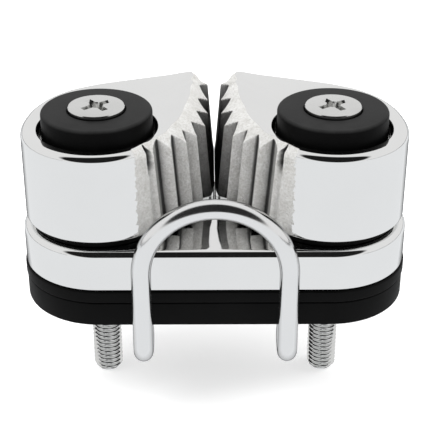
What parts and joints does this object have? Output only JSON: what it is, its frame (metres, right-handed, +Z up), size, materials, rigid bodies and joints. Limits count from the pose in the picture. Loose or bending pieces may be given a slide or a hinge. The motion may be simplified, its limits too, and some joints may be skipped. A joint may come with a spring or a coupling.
{
  "type": "cam cleat with wire leading ring",
  "caption": "Two sprung toothed cams on a stadium-shaped base over a two-layer pad, with screws through the pivots and an arched wire ring leading the rope in.",
  "frame": {"origin": "underside of the lower pad, midway between the two screws", "axes": "+X across the cleat from the left pivot to the right, +Y to the rear along the rope's path, +Z up from the deck"},
  "size_m": [0.0642, 0.0403, 0.0504],
  "materials": {
    "cast_stainless": "polished casting, left rough on the teeth",
    "polished_stainless": "polished",
    "ball_steel": "polished",
    "spring_steel": "drawn wire",
    "pad_black": "matte",
    "bush_black": "moulded, slightly worn"
  },
  "bodies": {
    "base": {"base_plate": "cast_stainless", "pad_upper": "pad_black", "pad_lower": "pad_black", "wire_leading_ring": "polished_stainless", "pivot_bush_left": "bush_black", "bush_sleeve_left": "polished_stainless", "mounting_screw_left": "polished_stainless", "torsion_spring_left": "spring_steel", "thrust_washer_left": "bush_black", "pivot_bush_right": "bush_black", "bush_sleeve_right": "polished_stainless", "mounting_screw_right": "polished_stainless", "torsion_spring_right": "spring_steel", "thrust_washer_right": "bush_black"},
    "cam_left": {"cam_left": "cast_stainless"},
    "cam_right": {"cam_right": "cast_stainless"},
    "balls_left": {"ball_left_01": "ball_steel", "ball_left_02": "ball_steel", "ball_left_03": "ball_steel", "ball_left_04": "ball_steel", "ball_left_05": "ball_steel", "ball_left_06": "ball_steel", "ball_left_07": "ball_steel", "ball_left_08": "ball_steel", "ball_left_09": "ball_steel", "ball_left_10": "ball_steel", "ball_left_11": "ball_steel", "ball_left_12": "ball_steel"},
    "balls_right": {"ball_right_01": "ball_steel", "ball_right_02": "ball_steel", "ball_right_03": "ball_steel", "ball_right_04": "ball_steel", "ball_right_05": "ball_steel", "ball_right_06": "ball_steel", "ball_right_07": "ball_steel", "ball_right_08": "ball_steel", "ball_right_09": "ball_steel", "ball_right_10": "ball_steel", "ball_right_11": "ball_steel", "ball_right_12": "ball_steel"}
  },
  "joints": [
    {"name": "cam_left_swing", "type": "hinge", "parent": "base", "child": "cam_left", "pos_m": [-0.019, 0, 0.0225], "axis": [0, 0, 1], "range_deg": [0, 50], "deforming": ["torsion_spring_left"]},
    {"name": "cam_right_swing", "type": "hinge", "parent": "base", "child": "cam_right", "pos_m": [0.019, 0, 0.0225], "axis": [0, 0, -1], "range_deg": [0, 50], "deforming": ["torsion_spring_right"]},
    {"name": "balls_left_roll", "type": "hinge", "parent": "base", "child": "balls_left", "pos_m": [-0.019, 0, 0.02555], "axis": [0, 0, 1], "range_deg": [0, 25]},
    {"name": "balls_right_roll", "type": "hinge", "parent": "base", "child": "balls_right", "pos_m": [0.019, 0, 0.02555], "axis": [0, 0, -1], "range_deg": [0, 25]}
  ],
  "couplings": [
    {"joint": "balls_left_roll", "follows": "cam_left_swing", "ratio": 0.5},
    {"joint": "balls_right_roll", "follows": "cam_right_swing", "ratio": 0.5}
  ]
}
